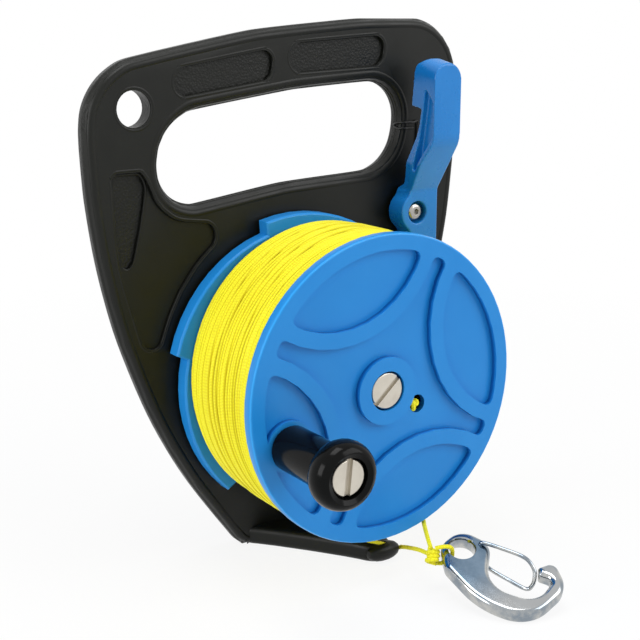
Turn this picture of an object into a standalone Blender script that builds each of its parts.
"""Finger spool: a hand reel for diving line, standing on its foot with its clip tied on.

A flat moulded handle plate carries a line spool on one bolt. The spool's rear flange is a
ratchet, held by a thumb lever, and a knob on the front flange winds the line in.
Metres, +Z up. The reel is seen from the front along +Y, and stands on z = 0.
Stations along the spool's axis are heights measured forward from the plate's back face.
"""

import math

import bmesh
import bpy
import numpy as np
from mathutils import Matrix, Vector

MM = 0.001
DEG = math.pi / 180

# Clearances shared by all the pieces
GAP = 0.3 * MM
OVERRUN = 2 * MM
WELD = 0.001 * MM
FLAT_ANGLE = 0.1 * DEG

# Handle plate
PLATE_W = 162.5 * MM
PLATE_T = 7.8 * MM
PLATE_ROUND = 2.6 * MM
HANDLE_RISE = 128.4 * MM
# corners of the outline: share of the half width, share of the height, radius share of the width
PLATE_OUTLINE_SHARES = [
    (-1.0105, 0.919, 0.155), (-0.1645, 0.984, 0.956), (0.425, 1.004, 0.905), (0.997, 1.005, 0.144),
    (1.001, 0.730, 0.40), (0.955, 0.560, 0.7), (0.850, 0.420, 0.7), (0.680, 0.220, 0.7),
    (0.500, 0.0, 0.03), (-0.276, 0.0, 0.055), (-0.595, 0.183, 0.754), (-0.820, 0.377, 0.905),
    (-0.943, 0.5615, 0.785), (-0.991, 0.704, 0.609)]

# Four finger opening in the plate
GRIP_SIDE = 27.25 * MM
APERTURE_H = 41 * MM
APERTURE_TOP = 22 * MM
# share of the half width, share of the height above the opening's lowest line, radius share
APERTURE_OUTLINE_SHARES = [
    (-0.986, 0.738, 0.48), (0.078, 0.938, 3.04), (1.017, 1.014, 0.42), (0.934, 0.137, 0.448),
    (-0.02, 0.072, 3.07), (-1.015, -0.113, 0.40)]

# Hole for a lanyard, and the shallow pockets moulded in the plate's front
LANYARD_R = 6.6 * MM
LANYARD_INSET = 18.5 * MM
LANYARD_DROP = 29.8 * MM
POCKET_DEPTH = 1.6 * MM
WEDGE_DEPTH = 3.0 * MM
# share of the half width, share of the height, radius share of the width
POCKET_SHARES = {
    "left": [(-0.580, 0.919, 0.032), (-0.070, 0.953, 0.030), (-0.090, 0.8965, 0.032),
             (-0.578, 0.869, 0.032)],
    "right": [(0.008, 0.960, 0.034), (0.556, 0.9748, 0.034), (0.535, 0.9164, 0.036),
              (0.012, 0.9068, 0.034)],
    "side": [(-0.889, 0.745, 0.015), (-0.752, 0.746, 0.010), (-0.725, 0.731, 0.03),
             (-0.682, 0.689, 0.06), (-0.600, 0.655, 0.08), (-0.400, 0.644, 0.03),
             (-0.385, 0.609, 0.03), (-0.457, 0.5866, 0.2), (-0.544, 0.5474, 0.3),
             (-0.606, 0.5072, 0.3), (-0.651, 0.4663, 0.3), (-0.690, 0.423, 0.03),
             (-0.765, 0.428, 0.03), (-0.805, 0.4871, 0.5), (-0.853, 0.5558, 0.5),
             (-0.880, 0.6161, 0.5)]}
WEDGE_SHARES = [(-0.870, 0.740, 0.006), (-0.750, 0.740, 0.012), (-0.724, 0.718, 0.03),
                (-0.735, 0.685, 0.3), (-0.757, 0.6427, 0.5), (-0.794, 0.586, 0.03),
                (-0.819, 0.574, 0.012), (-0.845, 0.580, 0.012), (-0.862, 0.615, 0.5),
                (-0.874, 0.665, 0.5)]

# Foot that runs forward under the spool to the line guide
TONGUE_H = 7.4 * MM
TONGUE_ROUND = 2.4 * MM
GUIDE_R = 3.8 * MM
GUIDE_LENGTH = 14.5 * MM
GUIDE_X = 16.25 * MM
GUIDE_STATION = 48.4 * MM
GUIDE_BORE_R = 1.3 * MM
GUIDE_BORE_LIFT = 3.5 * MM
# plan of the foot: share of the half plate width, share of the guide's station
TONGUE_PLAN_SHARES = [
    (-0.285, 0.03, 0.0), (-0.240, 0.165, 0.10), (-0.180, 0.275, 0.6), (-0.042, 0.575, 0.6),
    (0.075, 0.85, 0.3), (0.115, 0.97, 0.06), (0.150, 1.03, 0.04), (0.255, 1.02, 0.05),
    (0.275, 0.80, 0.25), (0.370, 0.50, 0.40), (0.440, 0.19, 0.10), (0.490, 0.03, 0.0)]

# Spool
AXIS_X = 5.45 * MM
RATCHET_TIP_R = 59.6 * MM
RATCHET_ROOT_R = 54.9 * MM
RATCHET_T = 6.7 * MM
RATCHET_ROUND = 0.7 * MM
RATCHET_TEETH = 6
RATCHET_PHASE = 111.2 * DEG
RATCHET_RAMP_SHARE = 0.978
FLANGE_R = 57.0 * MM
FLANGE_T = 4.8 * MM
FLANGE_ROUND = 1.2 * MM
DRUM_WIDTH = 43.9 * MM
BARREL_R = 13.4 * MM
SPIGOT_LENGTH = 3.0 * MM
SPOOL_TO_PLATE = 1.6 * MM
SPOOL_OVER_FOOT = 7.3 * MM

# Recesses in the front flange: four lenses and the star between them
RECESS_DEPTH = 2.4 * MM
RIM_INNER_R = 51.2 * MM
LENS_CENTRE_R = 65.8 * MM
LENS_PHASE = 18.5 * DEG
LENS_CORNER = 3.0 * MM
RIB_WIDTH = 5.7 * MM
ARM_END = 6.34 * MM
ARM_CORNER = 2.2 * MM
HUB_R = 12.5 * MM
TIE_HOLE_R = 3.4 * MM
TIE_HOLE_OUT = 17.0 * MM
TIE_HOLE_ANGLE = -27.4 * DEG

# Bolt that carries the spool
AXLE_R = 4.0 * MM
AXLE_HEAD_R = 6.7 * MM
AXLE_HEAD_T = 3.2 * MM
AXLE_NUT_AF = 13 * MM
AXLE_NUT_T = 4 * MM
BUSH_WALL = 1.7 * MM
HEAD_WASHER_T = 0.8 * MM
HEAD_SUNK = 0.4 * MM
THRUST_WASHER_R = 11 * MM
AXLE_SLOT_WIDTH = 1.6 * MM
SLOT_DEPTH = 1.5 * MM
AXLE_SLOT_ANGLE = 42 * DEG

# Winding knob on its shoulder screw
KNOB_OUT = 43.3 * MM
KNOB_ANGLE = 197.2 * DEG
KNOB_REACH = 36.4 * MM
KNOB_SLEEVE_R = 8.1 * MM
KNOB_RING_R = 11.9 * MM
KNOB_RING_T = 10.5 * MM
KNOB_NECK = 1.0 * MM
KNOB_BOSS_R = 9.2 * MM
KNOB_SCREW_R = 3.0 * MM
KNOB_HEAD_R = 6.4 * MM
KNOB_HEAD_T = 2.8 * MM
KNOB_HEAD_SUNK = 1.6 * MM
KNOB_SLOT_ANGLE = 84.5 * DEG
KNOB_SLOT_WIDTH = 2.2 * MM
KNOB_INSERT_WALL = 1.2 * MM
KNOB_INSERT_T = 3.6 * MM
KNOB_WASHER_R = 6.0 * MM
KNOB_WASHER_T = 0.6 * MM

# Thumb lever and its pawl
PIVOT_ANGLE = 48.5 * DEG
LEVER_HUB_R = 7.7 * MM
LEVER_HUB_CLEAR = 5.3 * MM
LEVER_BACK = 9.5 * MM
LEVER_FRONT = 18.8 * MM
LEVER_PAD_FRONT = 31.8 * MM
LEVER_HEIGHT = 61 * MM
LEVER_WIDTH = 13.0 * MM
LEVER_TAIL = 23 * MM
LEVER_RIGHT = 9.9 * MM
LEVER_FLUTE = 3.0 * MM
LEVER_STEP = 0.9 * MM
PAWL_CLEAR = 0.6 * MM
PAWL_ANGLE = 35.4 * DEG
PAWL_ROUND = 1.0 * MM
# side view: share of the lever's depth from its back, share of its height over the pivot
LEVER_SIDE_SHARES = [
    (1.0, 0.966, 0.06), (1.0, 0.470, 0.45), (0.417, 0.147, 0.12), (0.417, -0.465, 0.0),
    (0.0, -0.465, 0.0), (0.0, 0.150, 0.03), (0.18, 0.183, 0.04), (0.27, 0.32, 0.3),
    (0.40, 0.44, 0.2), (0.640, 0.672, 0.03), (0.359, 0.688, 0.03), (0.435, 0.945, 0.12),
    (0.62, 1.0, 0.2)]
# the flute in the lever's side, and the step behind its rib: the same shares
LEVER_FLUTE_SHARES = [
    (0.946, 0.721, 0.10), (0.946, 0.500, 0.10), (0.480, 0.238, 0.03), (0.570, 0.426, 0.2),
    (0.682, 0.664, 0.2), (0.722, 0.803, 0.03)]
LEVER_STEP_SHARES = [
    (0.632, 0.670, 0.0), (0.516, 0.426, 0.2), (0.368, 0.246, 0.2), (0.291, 0.141, 0.0),
    (-0.070, 0.141, 0.0), (-0.070, 0.670, 0.0)]
# left edge of the neck: share of the lever's width from its left side, share of its height
LEVER_NECK_SHARES = [(-0.074, 0.213), (-0.135, 0.328), (0.0, 0.492)]
PIVOT_R = 2.0 * MM
PIVOT_HEAD_R = 3.8 * MM
PIVOT_HEAD_T = 2.2 * MM
PIVOT_HEAD_SUNK = 1.0 * MM
PIVOT_SOCKET_R = 1.3 * MM
PIVOT_SOCKET_DEPTH = 1.3 * MM
PIVOT_SOCKET_TURN = 20 * DEG
PIVOT_NUT_AF = 7 * MM
PIVOT_NUT_T = 3.2 * MM
PIVOT_WASHER_R = 3.5 * MM
PIVOT_SLEEVE_WALL = 1.3 * MM
SPRING_WIRE_R = 0.45 * MM
SPRING_COIL_R = 4.95 * MM
SPRING_TURNS = 2.25
SPRING_PITCH = 1.4 * MM
SPRING_POCKET_WALL = 1.4 * MM
SPRING_POCKET_DEPTH = 4.6 * MM
SPRING_HOOK = 2.2 * MM
SPRING_LEAN = 2.5 * MM

# Line and winding
LINE_R = 0.8 * MM
WOUND_R = 56.3 * MM
WOUND_LOOPS = 17
WOUND_MARGIN = 0.9 * MM
WOUND_BACK_MARGIN = 3.0 * MM
LOOP_POINTS = 24
KNOT_R = 2.4 * MM
TIE_KNOT_R = 2.1 * MM
TIE_KNOT_ASIDE = 0.9 * MM

# Clip
CLIP_T = 6.0 * MM
CLIP_ROUND = 2.0 * MM
CLIP_EYE_R = 4.7 * MM
CLIP_LENGTH = 44 * MM
CLIP_WIDTH = 27 * MM
CLIP_LEAN = 24.2 * DEG
CLIP_LEAN_TOWARD = -123.5 * DEG
CLIP_HEADING = -75.3 * DEG
GATE_WIRE_R = 0.75 * MM
GATE_SPLAY = 1.15 * MM
GATE_HOLE_DEPTH = 1.2 * MM
# share of the clip's length from the eye's centre, share of its width, radius share of the width
CLIP_OUTLINE_SHARES = [
    (-0.170, -0.132, 0.29), (-0.132, 0.298, 0.30), (0.158, 0.330, 0.26), (0.371, -0.317, 0.39),
    (0.762, -0.127, 0.37), (0.756, 0.328, 0.15), (0.634, 0.272, 0.04), (0.590, 0.378, 0.04),
    (0.664, 0.596, 0.17), (0.888, 0.334, 0.37), (0.832, -0.425, 0.63), (0.420, -0.619, 1.49),
    (0.006, -0.401, 0.17)]
# section of the eye: share of its radius, share of half the clip's thickness
CLIP_EYE_SHARES = [(1.17, 1.2), (1.08, 0.85), (1.0, 0.4), (1.0, -0.4), (1.08, -0.85), (1.17, -1.2)]
GATE_PIVOT_SHARES = (0.100, 0.211)
# the gate's wire: share of the clip's length, of its width, and of the legs' height
GATE_PATH_SHARES = [
    (0.123, 0.226, 1.0), (0.257, 0.289, 1.0), (0.464, 0.352, 0.99), (0.568, 0.322, 0.55),
    (0.607, 0.259, 0.0), (0.614, 0.196, -0.58), (0.577, 0.148, -1.0), (0.416, 0.133, -1.0),
    (0.244, 0.133, -1.0), (0.123, 0.196, -1.0)]

# Places of the clip's eye and of the knot, and the line's free stretches, in the part's frame
CLIP_EYE_PLACE = (25.38 * MM, -33.32 * MM, 14.06 * MM)
KNOT_PLACE = (15.87 * MM, -28.77 * MM, 13.84 * MM)
LINE_RUN_ROUTE = [(24.4, 1.2, 3.8), (24.1, -0.2, 4.3), (22.8, -3.4, 5.8), (20.5, -10.0, 8.5),
                  (17.9, -18.5, 11.6), (16.4, -26.0, 13.2)]
LINE_TAIL_ROUTE = [(16.9, -26.3, 15.4), (19.5, -20.8, 17.5), (23.5, -13.9, 18.7), (26.5, -9.2, 18.9),
                   (28.0, -3.4, 20.9)]
# the loop through the clip's eye, in the clip's own frame
LOOP_ROUTE = [(-6.9, -7.0, 3.9), (-5.9, -6.0, 4.3), (-4.5, -4.6, 4.5), (-3.0, -3.1, 3.9),
              (-2.4, -2.4, 1.8), (-2.4, -2.4, -1.8), (-3.0, -3.1, -3.9), (-4.5, -4.6, -4.5),
              (-5.9, -6.0, -4.3), (-6.9, -7.0, -3.9)]

# Values worked out from the sizes above
AXIS_Z = TONGUE_H + SPOOL_OVER_FOOT + RATCHET_TIP_R
PLATE_H = AXIS_Z + HANDLE_RISE
APERTURE_W = PLATE_W - 2 * GRIP_SIDE
H_RATCHET = PLATE_T + SPOOL_TO_PLATE
H_DRUM = H_RATCHET + RATCHET_T
H_FLANGE = H_DRUM + DRUM_WIDTH
H_FACE = H_FLANGE + FLANGE_T
DEPTH = H_FACE + KNOB_REACH
BACK_Y = DEPTH / 2
BUSH_R = AXLE_R + GAP + BUSH_WALL
HEAD_FRONT = H_FACE - HEAD_SUNK
HEAD_BACK = HEAD_FRONT - AXLE_HEAD_T
HEAD_BORE_R = AXLE_HEAD_R + 2 * GAP
HEAD_SEAT = HEAD_BACK - HEAD_WASHER_T - 2 * GAP
PIVOT_OUT = RATCHET_TIP_R + LEVER_HUB_CLEAR + LEVER_HUB_R
PIVOT_X = AXIS_X + PIVOT_OUT * math.cos(PIVOT_ANGLE)
PIVOT_Z = AXIS_Z + PIVOT_OUT * math.sin(PIVOT_ANGLE)
KNOB_X = AXIS_X + KNOB_OUT * math.cos(KNOB_ANGLE)
KNOB_Z = AXIS_Z + KNOB_OUT * math.sin(KNOB_ANGLE)
FLOOR_LEVEL = H_FACE - RECESS_DEPTH
ARM_SPREAD = math.pi / 4 - math.asin(ARM_END / 2 / RIM_INNER_R)
STAR_R = math.sqrt(LENS_CENTRE_R ** 2 + RIM_INNER_R ** 2
                   - 2 * LENS_CENTRE_R * RIM_INNER_R * math.cos(ARM_SPREAD))
LENS_INNER_R = STAR_R - RIB_WIDTH

BLUE = ("blue_plastic", (0.02, 0.23, 0.72), 0.35, 0.0)
BLACK = ("black_plastic", (0.012, 0.012, 0.013), 0.45, 0.0)
GLOSS_BLACK = ("gloss_black_plastic", (0.008, 0.008, 0.009), 0.15, 0.0)
STEEL = ("stainless_steel", (0.62, 0.60, 0.57), 0.28, 1.0)
BRASS = ("brass", (0.70, 0.52, 0.22), 0.35, 1.0)
LINE = ("yellow_line", (0.85, 0.82, 0.02), 0.75, 0.0)
CHROME = ("polished_steel", (0.75, 0.76, 0.78), 0.12, 1.0)
NYLON = ("nylon", (0.75, 0.74, 0.70), 0.5, 0.0)


def station(height):
    """The y of a height measured forward from the plate's back face."""
    return BACK_Y - height


def clear_scene():
    for obj in list(bpy.data.objects):
        bpy.data.objects.remove(obj, do_unlink=True)
    for name in ("finger_spool", "finger_spool_cutters"):
        group = bpy.data.collections.new(name)
        bpy.context.scene.collection.children.link(group)
    return bpy.data.collections["finger_spool"], bpy.data.collections["finger_spool_cutters"]


PARTS, CUTTERS = clear_scene()


def finish(obj, name, look):
    """Names a sub-part, gives it its material and puts it in the part's collection."""
    obj.name = name
    obj.data.name = name
    label, colour, roughness, metallic = look
    mat = bpy.data.materials.get(label) or bpy.data.materials.new(label)
    mat.use_nodes = True
    shader = mat.node_tree.nodes["Principled BSDF"]
    shader.inputs["Base Color"].default_value = (*colour, 1)
    shader.inputs["Roughness"].default_value = roughness
    shader.inputs["Metallic"].default_value = metallic
    obj.data.materials.clear()
    obj.data.materials.append(mat)
    for group in list(obj.users_collection):
        group.objects.unlink(obj)
    PARTS.objects.link(obj)
    return obj


def set_aside(obj):
    """Puts a cutter or a shape that is joined to another in the cutters' collection."""
    for group in list(obj.users_collection):
        group.objects.unlink(obj)
    CUTTERS.objects.link(obj)
    obj.hide_render = True
    obj.display_type = "WIRE"
    return obj


def combine(obj, other, operation):
    mod = obj.modifiers.new(operation.lower() + "_" + other.name, "BOOLEAN")
    mod.operation = operation
    mod.object = set_aside(other)
    return obj


def cut(obj, *others):
    for other in others:
        combine(obj, other, "DIFFERENCE")
    return obj


def join(obj, *others):
    for other in others:
        combine(obj, other, "UNION")
    return obj


def as_mesh(curve_obj, flat=False):
    """The curve's evaluated mesh as an object of its own, with its caps welded.

    The triangles of a flat shape's faces are joined, so that few faces are cut later.
    """
    bpy.context.view_layer.update()
    graph = bpy.context.evaluated_depsgraph_get()
    mesh = bpy.data.meshes.new_from_object(curve_obj.evaluated_get(graph))
    bm = bmesh.new()
    bm.from_mesh(mesh)
    bmesh.ops.remove_doubles(bm, verts=bm.verts, dist=WELD)
    bmesh.ops.recalc_face_normals(bm, faces=bm.faces)
    if flat:
        bmesh.ops.dissolve_limit(bm, angle_limit=FLAT_ANGLE, verts=bm.verts, edges=bm.edges)
    bm.to_mesh(mesh)
    bm.free()
    obj = bpy.data.objects.new(curve_obj.name, mesh)
    bpy.context.scene.collection.objects.link(obj)
    obj.matrix_world = curve_obj.matrix_world.copy()
    bpy.data.objects.remove(curve_obj, do_unlink=True)
    return obj


def rounded(corners, step=16 * DEG):
    """Outline points of a polygon whose corners (x, z, radius) are rounded by arcs."""
    points = []
    count = len(corners)
    for i, (x, z, radius) in enumerate(corners):
        here = Vector((x, z))
        before = Vector(corners[i - 1][:2]) - here
        after = Vector(corners[(i + 1) % count][:2]) - here
        turn = math.pi - before.angle(after)
        reach = radius * math.tan(turn / 2)
        longest = min(before.length, after.length) * 0.49
        if reach > longest:
            reach = longest
            radius = reach / math.tan(turn / 2)
        if reach < WELD:
            points.append((x, z))
            continue
        start = here + before.normalized() * reach
        inward = (before.normalized() + after.normalized()).normalized()
        centre = here + inward * math.hypot(radius, reach)
        spoke = start - centre
        side = 1 if before.x * after.y - before.y * after.x < 0 else -1
        pieces = max(1, round(turn / step))
        for k in range(pieces + 1):
            angle = side * turn * k / pieces
            cos, sin = math.cos(angle), math.sin(angle)
            points.append((centre.x + spoke.x * cos - spoke.y * sin,
                           centre.y + spoke.x * sin + spoke.y * cos))
    return points


def circle(radius, centre=(0, 0), count=48, turn=0.0):
    angles = [turn + 2 * math.pi * i / count for i in range(count)]
    return [(centre[0] + radius * math.cos(a), centre[1] + radius * math.sin(a)) for a in angles]


def flat_shape(name, loops, thickness, edge_round=0.0, edge_steps=1):
    """A 2D curve of closed loops, extruded about its plane to a thickness."""
    curve = bpy.data.curves.new(name, "CURVE")
    curve.dimensions = "2D"
    curve.fill_mode = "BOTH"
    for loop in loops:
        spline = curve.splines.new("POLY")
        spline.points.add(len(loop) - 1)
        for point, (x, z) in zip(spline.points, loop):
            point.co = (x, z, 0, 1)
        spline.use_cyclic_u = True
    curve.extrude = thickness / 2 - edge_round
    curve.bevel_depth = edge_round
    curve.bevel_resolution = edge_steps
    curve.offset = -edge_round
    obj = bpy.data.objects.new(name, curve)
    bpy.context.scene.collection.objects.link(obj)
    return obj


def prism(name, loops, low, high, edge_round=0.0, edge_steps=1):
    """A flat outline in the XZ plane, extruded between two stations."""
    obj = flat_shape(name, loops, high - low, edge_round, edge_steps)
    obj.location = (0, station((low + high) / 2), 0)
    obj.rotation_euler = (math.pi / 2, 0, 0)
    return as_mesh(obj, True)


def turned(name, profile, x, z, steps=48):
    """A ring of the profile (radius, station), turned about the Y axis through x, z.

    The profile runs down its outer side from its most forward point. Its ends close on
    the axis, or join each other where the ring has a bore.
    """
    bm = bmesh.new()
    verts = [bm.verts.new((radius, 0, height)) for radius, height in profile]
    for a, b in zip(verts, verts[1:]):
        bm.edges.new((a, b))
    if min(radius for radius, height in profile) > WELD:
        bm.edges.new((verts[-1], verts[0]))
    mesh = bpy.data.meshes.new(name)
    bm.to_mesh(mesh)
    bm.free()
    obj = bpy.data.objects.new(name, mesh)
    bpy.context.scene.collection.objects.link(obj)
    obj.location = (x, BACK_Y, z)
    obj.rotation_euler = (math.pi / 2, 0, 0)
    screw = obj.modifiers.new("turn", "SCREW")
    screw.steps = steps
    screw.render_steps = steps
    screw.use_merge_vertices = True
    screw.merge_threshold = WELD
    return obj


def ring(name, inner, outer, low, high, x, z, steps=48):
    """A plain washer or sleeve between two stations."""
    profile = [(outer, high), (outer, low), (inner, low), (inner, high)]
    return turned(name, profile, x, z, steps)


def disc(name, radius, low, high, x, z, steps=48, edge_round=0.0):
    """A disc between two stations, with plain round faces and rounded edges."""
    bm = bmesh.new()
    bmesh.ops.create_cone(bm, cap_ends=True, segments=steps, radius1=radius, radius2=radius,
                          depth=high - low)
    mesh = bpy.data.meshes.new(name)
    bm.to_mesh(mesh)
    bm.free()
    obj = bpy.data.objects.new(name, mesh)
    bpy.context.scene.collection.objects.link(obj)
    obj.location = (x, station((low + high) / 2), z)
    obj.rotation_euler = (math.pi / 2, 0, 0)
    if edge_round > 0:
        rim = obj.modifiers.new("rim", "BEVEL")
        rim.width = edge_round
        rim.segments = 2
        rim.limit_method = "ANGLE"
        rim.angle_limit = 60 * DEG
    return obj


def box(name, size, centre, turn=0.0):
    """A block whose local X is turned about the Y axis."""
    bm = bmesh.new()
    bmesh.ops.create_cube(bm, size=1)
    bmesh.ops.scale(bm, vec=size, verts=bm.verts)
    mesh = bpy.data.meshes.new(name)
    bm.to_mesh(mesh)
    bm.free()
    obj = bpy.data.objects.new(name, mesh)
    bpy.context.scene.collection.objects.link(obj)
    obj.location = centre
    obj.rotation_euler = (0, -turn, 0)
    return obj


def hexagon(across_flats):
    radius = across_flats / 2 / math.cos(math.pi / 6)
    return circle(radius, (0, 0), 6)


def moved(loop, x, z):
    return [(px + x, pz + z) for px, pz in loop]


def catmull(points, pieces):
    """Points along the smooth curve through the given points."""
    pts = [np.array(p, float) for p in points]
    pts = [2 * pts[0] - pts[1]] + pts + [2 * pts[-1] - pts[-2]]
    out = []
    for i in range(1, len(pts) - 2):
        p0, p1, p2, p3 = pts[i - 1:i + 3]
        for k in range(pieces):
            t = k / pieces
            out.append(tuple(0.5 * (2 * p1 + (p2 - p0) * t + (2 * p0 - 5 * p1 + 4 * p2 - p3) * t ** 2
                                    + (3 * p1 - p0 - 3 * p2 + p3) * t ** 3)))
    out.append(tuple(pts[-2]))
    return out


def tube(name, points, radius, resolution, matrix=None):
    """A round tube with closed ends along the points."""
    curve = bpy.data.curves.new(name, "CURVE")
    curve.dimensions = "3D"
    curve.bevel_depth = radius
    curve.bevel_resolution = resolution
    curve.use_fill_caps = True
    spline = curve.splines.new("POLY")
    spline.points.add(len(points) - 1)
    for point, co in zip(spline.points, points):
        point.co = (*co, 1)
    obj = bpy.data.objects.new(name, curve)
    bpy.context.scene.collection.objects.link(obj)
    if matrix is not None:
        obj.matrix_world = matrix
    return obj


def plate_corners(shares):
    """Corners given as shares of the plate's half width, height and width."""
    return [(x * PLATE_W / 2, z * PLATE_H, radius * PLATE_W) for x, z, radius in shares]


def aperture_corners():
    low = PLATE_H - APERTURE_TOP - APERTURE_H
    return [(x * APERTURE_W / 2, low + z * APERTURE_H, radius * APERTURE_H)
            for x, z, radius in APERTURE_OUTLINE_SHARES]


def guide_bore():
    """The line's way through the guide: where it leaves the winding, and the bore's mouth."""
    mouth_x = GUIDE_X + GUIDE_LENGTH / 2 - AXIS_X
    mouth_z = GUIDE_BORE_LIFT - AXIS_Z
    reach = WOUND_R + GAP + LINE_R
    far = math.hypot(mouth_x, mouth_z)
    angle = math.atan2(mouth_z, mouth_x) - math.acos(reach / far)
    start = Vector((AXIS_X + reach * math.cos(angle), station(GUIDE_STATION),
                    AXIS_Z + reach * math.sin(angle)))
    mouth = Vector((AXIS_X + mouth_x, station(GUIDE_STATION), AXIS_Z + mouth_z))
    return start, mouth


def frame():
    """The handle plate with its openings, pockets, nut seats and foot: one moulding."""
    plate = prism("frame", [rounded(plate_corners(PLATE_OUTLINE_SHARES)),
                            rounded(aperture_corners(), 15 * DEG)],
                  0, PLATE_T, PLATE_ROUND, 1)
    tongue_plan = [(x * PLATE_W / 2, station(s * GUIDE_STATION), radius * PLATE_W)
                   for x, s, radius in TONGUE_PLAN_SHARES]
    tongue = flat_shape("tongue", [rounded(tongue_plan, 20 * DEG)], TONGUE_H, TONGUE_ROUND, 1)
    tongue.location = (0, 0, TONGUE_H / 2)
    tongue = as_mesh(tongue, True)
    guide = ring_profile_guide()
    join(plate, tongue, guide)
    for side, shares in POCKET_SHARES.items():
        pocket = prism("pocket_" + side, [rounded(plate_corners(shares), 20 * DEG)],
                       PLATE_T - POCKET_DEPTH, PLATE_T + OVERRUN)
        cut(plate, pocket)
    wedge = prism("pocket_wedge", [rounded(plate_corners(WEDGE_SHARES), 30 * DEG)],
                  PLATE_T - WEDGE_DEPTH, PLATE_T - POCKET_DEPTH + OVERRUN)
    lanyard_hole = disc("lanyard_hole", LANYARD_R, -OVERRUN, PLATE_T + OVERRUN,
                        LANYARD_INSET - PLATE_W / 2, PLATE_H - LANYARD_DROP, 32)
    axle_hole = disc("axle_hole", AXLE_R + GAP, -OVERRUN, PLATE_T + OVERRUN, AXIS_X, AXIS_Z, 32)
    axle_seat = prism("axle_seat", [moved(hexagon(AXLE_NUT_AF + 2 * GAP), AXIS_X, AXIS_Z)],
                      -OVERRUN, AXLE_NUT_T + 2 * GAP)
    pivot_hole = disc("pivot_hole", PIVOT_R + GAP, -OVERRUN, PLATE_T + OVERRUN,
                      PIVOT_X, PIVOT_Z, 24)
    pivot_seat = prism("pivot_seat", [moved(hexagon(PIVOT_NUT_AF + 2 * GAP), PIVOT_X, PIVOT_Z)],
                       -OVERRUN, PIVOT_NUT_T + 2 * GAP)
    start, mouth = guide_bore()
    run = (mouth - start).normalized()
    bore = tube("guide_bore", [tuple(mouth - run * GUIDE_LENGTH * 1.6), tuple(mouth + run * GUIDE_R)],
                GUIDE_BORE_R, 2)
    cut(plate, wedge, lanyard_hole, axle_hole, axle_seat, pivot_hole, pivot_seat, as_mesh(bore))
    return finish(plate, "frame", BLACK)


def ring_profile_guide():
    """The guide at the foot's tip: a fat rounded end that lies along X."""
    half = GUIDE_LENGTH / 2
    profile = []
    for i in range(10):
        angle = math.pi * i / 9
        radius = GUIDE_R * math.sin(angle) ** 0.8
        profile.append((radius, half * math.cos(angle)))
    profile[0] = (0, half)
    profile[-1] = (0, -half)
    guide = turned("guide", profile, 0, 0, 18)
    guide.location = (GUIDE_X, station(GUIDE_STATION), GUIDE_R)
    guide.rotation_euler = (0, math.pi / 2, 0)
    return guide


def lens_corners(phase):
    """The outline of one lens: the rim's arc and the rib's arc, meeting in two corners."""
    reach = (RIM_INNER_R ** 2 + LENS_CENTRE_R ** 2 - LENS_INNER_R ** 2) / (2 * LENS_CENTRE_R)
    half = math.acos(reach / RIM_INNER_R)
    across = math.sqrt(RIM_INNER_R ** 2 - reach ** 2)
    inner_half = math.atan2(across, LENS_CENTRE_R - reach)
    corners = []
    for i in range(11):
        angle = half * (i / 5 - 1)
        soft = LENS_CORNER if i in (0, 10) else 0
        corners.append((RIM_INNER_R * math.cos(angle), RIM_INNER_R * math.sin(angle), soft))
    for i in range(1, 10):
        angle = inner_half * (1 - i / 5)
        corners.append((LENS_CENTRE_R - LENS_INNER_R * math.cos(angle),
                        LENS_INNER_R * math.sin(angle), 0))
    cos, sin = math.cos(phase), math.sin(phase)
    return [(x * cos - z * sin, x * sin + z * cos, soft) for x, z, soft in corners]


def star_corners():
    """The star between the ribs: four arcs about the lens centres, closed by arm ends."""
    corners = []
    reach = (RIM_INNER_R ** 2 + LENS_CENTRE_R ** 2 - STAR_R ** 2) / (2 * LENS_CENTRE_R)
    half = math.atan2(math.sqrt(RIM_INNER_R ** 2 - reach ** 2), LENS_CENTRE_R - reach)
    for quarter in range(4):
        phase = LENS_PHASE + quarter * math.pi / 2
        cos, sin = math.cos(phase), math.sin(phase)
        for i in range(11):
            angle = half * (i / 5 - 1)
            x = LENS_CENTRE_R - STAR_R * math.cos(angle)
            z = STAR_R * math.sin(angle)
            soft = ARM_CORNER if i in (0, 10) else 0
            corners.append((x * cos - z * sin, x * sin + z * cos, soft))
    return corners


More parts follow.
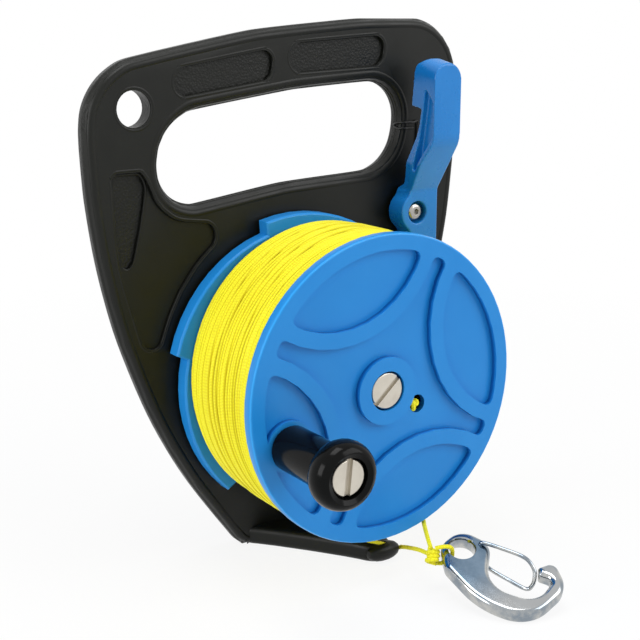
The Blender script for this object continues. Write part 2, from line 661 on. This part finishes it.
def front_flange():
    """The spool's front moulding: ribbed flange, hub and barrel."""
    flange = disc("front_flange", FLANGE_R, H_FLANGE, H_FACE, AXIS_X, AXIS_Z, 72, FLANGE_ROUND)
    join(flange, disc("barrel", BARREL_R, H_DRUM - SPIGOT_LENGTH, FLOOR_LEVEL, AXIS_X, AXIS_Z, 36))
    cut(flange, disc("head_bore", HEAD_BORE_R, HEAD_SEAT, H_FACE + OVERRUN, AXIS_X, AXIS_Z, 36),
        disc("bush_bore", BUSH_R + GAP, H_RATCHET, H_FACE, AXIS_X, AXIS_Z, 36))
    for quarter in range(4):
        loop = rounded(lens_corners(LENS_PHASE + quarter * math.pi / 2), 30 * DEG)
        lens = prism("lens_%d" % quarter, [moved(loop, AXIS_X, AXIS_Z)],
                     FLOOR_LEVEL, H_FACE + OVERRUN)
        if quarter == 2:
            cut(lens, disc("knob_boss", KNOB_BOSS_R, FLOOR_LEVEL - OVERRUN,
                           H_FACE + 2 * OVERRUN, KNOB_X, KNOB_Z, 40))
        cut(flange, lens)
    star = prism("star", [moved(rounded(star_corners(), 30 * DEG), AXIS_X, AXIS_Z)],
                 FLOOR_LEVEL, H_FACE + OVERRUN)
    cut(star, disc("hub_boss", HUB_R, FLOOR_LEVEL - OVERRUN, H_FACE + 2 * OVERRUN,
                   AXIS_X, AXIS_Z, 48))
    tie_hole = disc("tie_hole", TIE_HOLE_R, H_FLANGE - OVERRUN, H_FACE + OVERRUN,
                    AXIS_X + TIE_HOLE_OUT * math.cos(TIE_HOLE_ANGLE),
                    AXIS_Z + TIE_HOLE_OUT * math.sin(TIE_HOLE_ANGLE), 24)
    insert_hole = disc("insert_hole", KNOB_SCREW_R + KNOB_INSERT_WALL + GAP,
                       H_FLANGE - OVERRUN, H_FACE + OVERRUN, KNOB_X, KNOB_Z, 32)
    washer_seat = disc("washer_seat", KNOB_WASHER_R + GAP, H_FACE - KNOB_WASHER_T - GAP,
                       H_FACE + OVERRUN, KNOB_X, KNOB_Z, 40)
    cut(flange, star, tie_hole, washer_seat, insert_hole)
    return finish(flange, "front_flange", BLUE)


def ratchet_outline():
    """Saw teeth: each grows from the root to its tip, then steps back in."""
    points = []
    pitch = 2 * math.pi / RATCHET_TEETH
    for tooth in range(RATCHET_TEETH):
        start = RATCHET_PHASE + tooth * pitch
        for i in range(10):
            share = i / 9
            radius = RATCHET_ROOT_R + (RATCHET_TIP_R - RATCHET_ROOT_R) * share
            angle = start + pitch * share * RATCHET_RAMP_SHARE
            points.append((radius * math.cos(angle), radius * math.sin(angle)))
    return points


def ratchet_flange():
    """The spool's rear moulding: the ratchet wheel, with the barrel's socket."""
    wheel = prism("ratchet_flange", [moved(ratchet_outline(), AXIS_X, AXIS_Z)],
                  H_RATCHET, H_DRUM, RATCHET_ROUND, 0)
    socket = disc("socket", BARREL_R + GAP, H_DRUM - SPIGOT_LENGTH - GAP, H_DRUM + OVERRUN,
                  AXIS_X, AXIS_Z)
    bore = disc("wheel_bore", BUSH_R + GAP, H_RATCHET - OVERRUN, H_DRUM, AXIS_X, AXIS_Z)
    cut(wheel, socket, bore)
    return finish(wheel, "ratchet_flange", BLUE)


def slotted_screw(name, x, z, head_r, head_t, head_front, shank_r, end, slot_width, angle, look):
    """A flat headed screw whose head faces forward."""
    bevel = slot_width * 0.2
    profile = [(0, head_front), (head_r - bevel, head_front), (head_r, head_front - bevel),
               (head_r, head_front - head_t), (shank_r, head_front - head_t),
               (shank_r, end + bevel), (shank_r - bevel, end), (0, end)]
    screw = turned(name, profile, x, z, 26)
    slot = box(name + "_slot", (3 * head_r, 2 * SLOT_DEPTH, slot_width),
               (x, station(head_front), z), angle)
    cut(screw, slot)
    return finish(screw, name, look)


def axle():
    """The bolt through the spool, with its washers, its nut and the spool's bush."""
    slotted_screw("axle_screw", AXIS_X, AXIS_Z, AXLE_HEAD_R, AXLE_HEAD_T, HEAD_FRONT,
                  AXLE_R - GAP / 2, GAP, AXLE_SLOT_WIDTH, AXLE_SLOT_ANGLE, STEEL)
    washer = ring("head_washer", AXLE_R + GAP / 2, AXLE_HEAD_R, HEAD_SEAT + GAP,
                  HEAD_SEAT + GAP + HEAD_WASHER_T, AXIS_X, AXIS_Z, 28)
    finish(washer, "head_washer", NYLON)
    thrust = ring("thrust_washer", AXLE_R + GAP / 2, THRUST_WASHER_R, PLATE_T + GAP,
                  H_RATCHET - GAP, AXIS_X, AXIS_Z, 32)
    finish(thrust, "thrust_washer", NYLON)
    bush = ring("axle_bush", AXLE_R + GAP / 2, BUSH_R, H_RATCHET, HEAD_SEAT, AXIS_X, AXIS_Z, 32)
    finish(bush, "axle_bush", BRASS)
    nut = prism("axle_nut", [moved(hexagon(AXLE_NUT_AF), AXIS_X, AXIS_Z),
                             circle(AXLE_R + GAP / 2, (AXIS_X, AXIS_Z), 32)],
                GAP, AXLE_NUT_T + GAP)
    finish(nut, "axle_nut", STEEL)


def knob():
    """The winding knob, its shoulder screw, the washer under it and the moulded-in insert."""
    front = H_FACE + KNOB_REACH
    ring_mid = front - KNOB_RING_T / 2
    bore = KNOB_SCREW_R + GAP
    head_bore = KNOB_HEAD_R + 2 * GAP
    head_front = front - KNOB_HEAD_SUNK
    head_seat = head_front - KNOB_HEAD_T - GAP
    profile = [(head_bore, front - KNOB_HEAD_SUNK / 2)]
    for i in range(9):
        angle = (90 - 22.5 * i) * DEG
        mid = head_bore + KNOB_HEAD_SUNK
        reach = (KNOB_RING_R - mid) * math.cos(angle)
        profile.append((mid + reach, ring_mid + KNOB_RING_T / 2 * math.sin(angle)))
    neck = KNOB_SLEEVE_R + KNOB_NECK * 0.2
    profile = [p for p in profile if p[0] > neck or p[1] > ring_mid]
    profile += [(neck, ring_mid - KNOB_RING_T / 2), (KNOB_SLEEVE_R, ring_mid - KNOB_RING_T / 2 - KNOB_NECK),
                (KNOB_SLEEVE_R, H_FACE + GAP + KNOB_NECK), (KNOB_SLEEVE_R - KNOB_NECK / 2, H_FACE + GAP),
                (bore, H_FACE + GAP), (bore, head_seat), (head_bore, head_seat)]
    grip = turned("knob", profile, KNOB_X, KNOB_Z, 30)
    finish(grip, "knob", GLOSS_BLACK)
    slotted_screw("knob_screw", KNOB_X, KNOB_Z, KNOB_HEAD_R, KNOB_HEAD_T, head_front,
                  KNOB_SCREW_R, H_FACE - KNOB_WASHER_T - GAP - KNOB_INSERT_T, KNOB_SLOT_WIDTH,
                  KNOB_SLOT_ANGLE, STEEL)
    washer_low = H_FACE - KNOB_WASHER_T
    washer = ring("knob_washer", KNOB_SCREW_R + GAP, KNOB_WASHER_R, washer_low, H_FACE,
                  KNOB_X, KNOB_Z, 24)
    finish(washer, "knob_washer", NYLON)
    insert = ring("knob_insert", KNOB_SCREW_R + GAP / 2, KNOB_SCREW_R + KNOB_INSERT_WALL,
                  washer_low - GAP - KNOB_INSERT_T, washer_low - GAP, KNOB_X, KNOB_Z, 24)
    finish(insert, "knob_insert", BRASS)


def lever_shape(shares):
    """Side view corners (station, z) from shares of the lever's depth and height."""
    depth = LEVER_PAD_FRONT - LEVER_BACK
    return [(LEVER_BACK + s * depth, PIVOT_Z + z * LEVER_HEIGHT, radius * depth)
            for s, z, radius in shares]


def side_prism(name, corners, left, right):
    """An outline in the side view (station, z), extruded between two x places."""
    obj = flat_shape(name, [rounded(corners, 20 * DEG)], right - left)
    turn = Matrix(((0, 0, -1), (-1, 0, 0), (0, 1, 0))).to_4x4()
    obj.matrix_world = Matrix.Translation(((left + right) / 2, BACK_Y, 0)) @ turn
    return as_mesh(obj, True)


def neck_corners(inset=0.0):
    """The neck's left edge about the pivot, from its foot up, moved in by an inset."""
    left = LEVER_RIGHT - LEVER_WIDTH + inset
    return [(left + x * LEVER_WIDTH, z * LEVER_HEIGHT, LEVER_WIDTH * 0.7)
            for x, z in LEVER_NECK_SHARES]


def lever_front_corners():
    """Front view corners of the lever about its pivot: pad, neck, hub, tail and pawl."""
    right = LEVER_RIGHT
    left = right - LEVER_WIDTH
    top = LEVER_HEIGHT
    nose = RATCHET_TIP_R + PAWL_CLEAR
    nose_x = AXIS_X + nose * math.cos(PAWL_ANGLE) - PIVOT_X
    nose_z = AXIS_Z + nose * math.sin(PAWL_ANGLE) - PIVOT_Z
    spoke = LEVER_HUB_R / math.cos(math.pi / 8)
    hub = [(spoke * math.cos(turn * math.pi / 8), spoke * math.sin(turn * math.pi / 8), LEVER_HUB_R)
           for turn in (11, 9, 7, 5)]
    return [(right, top, LEVER_WIDTH * 0.49), (right, -LEVER_TAIL, LEVER_WIDTH * 0.2),
            (right - LEVER_WIDTH * 0.42, -LEVER_TAIL, LEVER_WIDTH * 0.15),
            (nose_x, nose_z, PAWL_ROUND), *hub, *neck_corners(), (left, top, LEVER_WIDTH * 0.49)]


def lever():
    """The thumb lever: pad, inclined neck, hub and the tail with the pawl."""
    outline = [(x + PIVOT_X, z + PIVOT_Z, radius) for x, z, radius in lever_front_corners()]
    body = prism("lever", [rounded(outline, 20 * DEG)], LEVER_BACK - OVERRUN, LEVER_PAD_FRONT + OVERRUN)
    left = PIVOT_X - 2 * LEVER_HUB_R
    right = PIVOT_X + LEVER_RIGHT
    side = side_prism("lever_side", lever_shape(LEVER_SIDE_SHARES), left, right + OVERRUN)
    combine(body, side, "INTERSECT")
    flute = side_prism("lever_flute", lever_shape(LEVER_FLUTE_SHARES), left,
                       right - LEVER_WIDTH + LEVER_FLUTE)
    step = side_prism("lever_step", lever_shape(LEVER_STEP_SHARES), left, right)
    strip = neck_corners(LEVER_STEP)
    strip = [(strip[0][0], 0), *[corner[:2] for corner in strip], (strip[-1][0], LEVER_HEIGHT),
             (left - PIVOT_X, LEVER_HEIGHT), (left - PIVOT_X, 0)]
    combine(step, prism("lever_step_front", [moved(strip, PIVOT_X, PIVOT_Z)],
                        LEVER_BACK - 2 * OVERRUN, LEVER_PAD_FRONT), "INTERSECT")
    head_bore = disc("pivot_counterbore", PIVOT_HEAD_R + 2 * GAP,
                     LEVER_FRONT - PIVOT_HEAD_SUNK - PIVOT_HEAD_T - GAP, LEVER_PAD_FRONT,
                     PIVOT_X, PIVOT_Z, 32)
    shank_bore = disc("pivot_bore", PIVOT_R + GAP, LEVER_BACK - OVERRUN,
                      LEVER_FRONT + OVERRUN, PIVOT_X, PIVOT_Z, 24)
    sleeve = PIVOT_R + GAP + PIVOT_SLEEVE_WALL
    pocket = ring("spring_pocket", sleeve, LEVER_HUB_R - SPRING_POCKET_WALL,
                  LEVER_BACK - OVERRUN, LEVER_BACK + SPRING_POCKET_DEPTH, PIVOT_X, PIVOT_Z, 32)
    cut(body, flute, step, head_bore, shank_bore, pocket)
    return finish(body, "lever", BLUE)


def lever_pivot():
    """The lever's screw, washer, nut and spring."""
    head_front = LEVER_FRONT - PIVOT_HEAD_SUNK
    head_back = head_front - PIVOT_HEAD_T
    profile = [(0, head_front), (PIVOT_HEAD_R * 0.45, head_front)]
    for i in range(1, 5):
        angle = 90 * DEG * i / 4
        profile.append((PIVOT_HEAD_R * (0.45 + 0.55 * math.sin(angle)),
                        head_back + PIVOT_HEAD_T * (0.25 + 0.75 * math.cos(angle))))
    profile += [(PIVOT_HEAD_R, head_back), (PIVOT_R, head_back), (PIVOT_R, GAP), (0, GAP)]
    screw = turned("pivot_screw", profile, PIVOT_X, PIVOT_Z, 24)
    socket = prism("pivot_socket", [circle(PIVOT_SOCKET_R, (PIVOT_X, PIVOT_Z), 6, PIVOT_SOCKET_TURN)],
                   head_front - PIVOT_SOCKET_DEPTH, head_front + OVERRUN)
    cut(screw, socket)
    finish(screw, "pivot_screw", STEEL)
    washer = ring("pivot_washer", PIVOT_R + GAP / 2, PIVOT_WASHER_R, PLATE_T + GAP,
                  LEVER_BACK - GAP, PIVOT_X, PIVOT_Z, 20)
    finish(washer, "pivot_washer", STEEL)
    nut = prism("pivot_nut", [moved(hexagon(PIVOT_NUT_AF), PIVOT_X, PIVOT_Z),
                              circle(PIVOT_R + GAP / 2, (PIVOT_X, PIVOT_Z), 24)],
                GAP, PIVOT_NUT_T + GAP)
    finish(nut, "pivot_nut", STEEL)
    finish(as_mesh(tube("lever_spring", spring_points(), SPRING_WIRE_R, 1)), "lever_spring", STEEL)


def spring_points():
    """Torsion spring: a doubled hook over the opening's right edge, a leg, then the coil."""
    low = PLATE_T + GAP + SPRING_WIRE_R
    upper, lower = aperture_corners()[2:4]
    edge = (upper[0] + lower[0]) / 2 - GAP - SPRING_WIRE_R
    top = (upper[1] + lower[1]) / 2
    over = edge + SPRING_WIRE_R * 3
    leg_x = PIVOT_X + SPRING_COIL_R + SPRING_LEAN
    hook = [(PIVOT_X + SPRING_COIL_R, station(low), top - SPRING_HOOK),
            (over, station(low), top - SPRING_HOOK),
            (edge, station(low * 0.8), top - SPRING_HOOK), (edge, station(low / 2), top - SPRING_HOOK / 2),
            (edge, station(low * 0.8), top), (over, station(low), top),
            (leg_x - SPRING_HOOK, station(low), top), (leg_x, station(low), top - SPRING_HOOK),
            (PIVOT_X + SPRING_COIL_R, station(low), PIVOT_Z + PIVOT_HEAD_R)]
    points = catmull(hook, 3)
    steps = round(SPRING_TURNS * 14)
    for i in range(steps + 1):
        turn = i / 14
        angle = -2 * math.pi * turn
        points.append((PIVOT_X + SPRING_COIL_R * math.cos(angle), station(low + SPRING_PITCH * turn),
                       PIVOT_Z + SPRING_COIL_R * math.sin(angle)))
    return points


def winding_points():
    """The outer layer: loops side by side from flange to flange, with straight ends."""
    radius = WOUND_R - LINE_R
    first = H_FLANGE - WOUND_MARGIN - LINE_R
    last = H_DRUM + WOUND_BACK_MARGIN + LINE_R
    count = WOUND_LOOPS * LOOP_POINTS
    points = []
    for i in range(count + 1):
        angle = -100 * DEG - 2 * math.pi * i / LOOP_POINTS
        height = first + (last - first) * i / count
        points.append((AXIS_X + radius * math.cos(angle), station(height),
                       AXIS_Z + radius * math.sin(angle)))
    return points


def least_gap(points):
    """The smallest gap of the wound tube to itself, from turn to turn."""
    pts = np.array(points)
    least = 1.0
    for i in range(0, len(pts) - LOOP_POINTS // 2):
        rest = pts[i + LOOP_POINTS // 2:]
        least = min(least, float(np.min(np.linalg.norm(rest - pts[i], axis=1))))
    return least - 2 * LINE_R


def wound_line():
    """The outer layer of turns over the core of the layers below it."""
    points = winding_points()
    print("winding: least gap to itself %.2f mm" % (least_gap(points) / MM))
    finish(as_mesh(tube("line_outer", points, LINE_R, 1)), "line_outer", LINE)
    core_top = (WOUND_R - LINE_R) * math.cos(math.pi / LOOP_POINTS) - LINE_R - GAP
    core = ring("line_core", BARREL_R + GAP, core_top, H_DRUM + GAP, H_FLANGE - GAP,
                AXIS_X, AXIS_Z, 54)
    finish(core, "line_core", LINE)
    x = AXIS_X + TIE_HOLE_OUT * math.cos(TIE_HOLE_ANGLE) - TIE_KNOT_ASIDE
    z = AXIS_Z + TIE_HOLE_OUT * math.sin(TIE_HOLE_ANGLE)
    centre = H_FLANGE + TIE_KNOT_R * 0.74
    profile = [(0, centre + TIE_KNOT_R)]
    for i in range(1, 6):
        angle = 150 * DEG * i / 6
        profile.append((TIE_KNOT_R * math.sin(angle), centre + TIE_KNOT_R * math.cos(angle)))
    profile += [(LINE_R, H_FLANGE + TIE_KNOT_R * 0.14), (LINE_R, H_FLANGE), (0, H_FLANGE)]
    finish(turned("tie_knot", profile, x, z, 16), "tie_knot", LINE)


def clip_matrix():
    """The clip's own frame: X from the eye to the hook, Z out of its upper face."""
    lean, toward = CLIP_LEAN, CLIP_LEAN_TOWARD
    normal = Vector((math.sin(lean) * math.cos(toward), math.sin(lean) * math.sin(toward),
                     math.cos(lean)))
    heading = Vector((math.cos(CLIP_HEADING), math.sin(CLIP_HEADING), 0))
    along = (heading - normal * heading.dot(normal)).normalized()
    across = normal.cross(along)
    turn = Matrix((along, across, normal)).transposed().to_4x4()
    return Matrix.Translation(CLIP_EYE_PLACE) @ turn


def clip():
    """The cast clip with its eye, and the sprung wire gate across its mouth."""
    corners = [(x * CLIP_LENGTH, z * CLIP_WIDTH, radius * CLIP_WIDTH)
               for x, z, radius in CLIP_OUTLINE_SHARES]
    body = flat_shape("clip_body", [rounded(corners, 22 * DEG)], CLIP_T, CLIP_ROUND, 1)
    place = clip_matrix()
    body.matrix_world = place
    body = as_mesh(body, True)
    section = [(r * CLIP_EYE_R, h * CLIP_T / 2) for r, h in CLIP_EYE_SHARES]
    eye = turned("clip_eye", [(0, section[0][1])] + section + [(0, section[-1][1])], 0, 0, 24)
    eye.matrix_world = place
    cut(body, eye)
    pivot = Vector((GATE_PIVOT_SHARES[0] * CLIP_LENGTH, GATE_PIVOT_SHARES[1] * CLIP_WIDTH))
    hole_r = GATE_WIRE_R + GAP
    for side in (-1, 1):
        hole = tube("gate_hole_%d" % side,
                    [(pivot.x, pivot.y, side * (CLIP_T / 2 - GATE_HOLE_DEPTH - GAP)),
                     (pivot.x, pivot.y, side * (CLIP_T / 2 + OVERRUN))], hole_r, 2, place)
        cut(body, as_mesh(hole))
    finish(body, "clip_body", CHROME)
    leg = CLIP_T / 2 + GATE_SPLAY
    ends = [(pivot.x, pivot.y, CLIP_T / 2 - GATE_HOLE_DEPTH),
            (pivot.x, pivot.y, CLIP_T / 2 + GATE_WIRE_R * 0.4)]
    path = ends + [(x * CLIP_LENGTH, z * CLIP_WIDTH, h * leg) for x, z, h in GATE_PATH_SHARES]
    path += [(x, z, -h) for x, z, h in reversed(ends)]
    gate = as_mesh(tube("clip_gate", catmull(path, 2), GATE_WIRE_R, 2, place))
    finish(gate, "clip_gate", CHROME)


def cord(name, route, pieces, matrix=None):
    points = catmull([tuple(value * MM for value in point) for point in route], pieces)
    return finish(as_mesh(tube(name, points, LINE_R, 2, matrix)), name, LINE)


def free_line():
    """The line from the winding through the guide, its tail, and the knot on the clip."""
    start, mouth = guide_bore()
    run = (mouth - start) / MM
    lead = [tuple(start / MM + run * share) for share in (0, 0.25, 0.5, 0.75, 1.0)]
    cord("line_run", lead + LINE_RUN_ROUTE, 3)
    cord("line_tail", LINE_TAIL_ROUTE, 3)
    cord("line_loop", LOOP_ROUTE, 2, clip_matrix())
    bm = bmesh.new()
    bmesh.ops.create_uvsphere(bm, u_segments=16, v_segments=10, radius=KNOT_R)
    mesh = bpy.data.meshes.new("line_knot")
    bm.to_mesh(mesh)
    bm.free()
    obj = bpy.data.objects.new("line_knot", mesh)
    obj.location = KNOT_PLACE
    bpy.context.scene.collection.objects.link(obj)
    finish(obj, "line_knot", LINE)


frame()
front_flange()
ratchet_flange()
axle()
wound_line()
knob()
lever()
lever_pivot()
clip()
free_line()
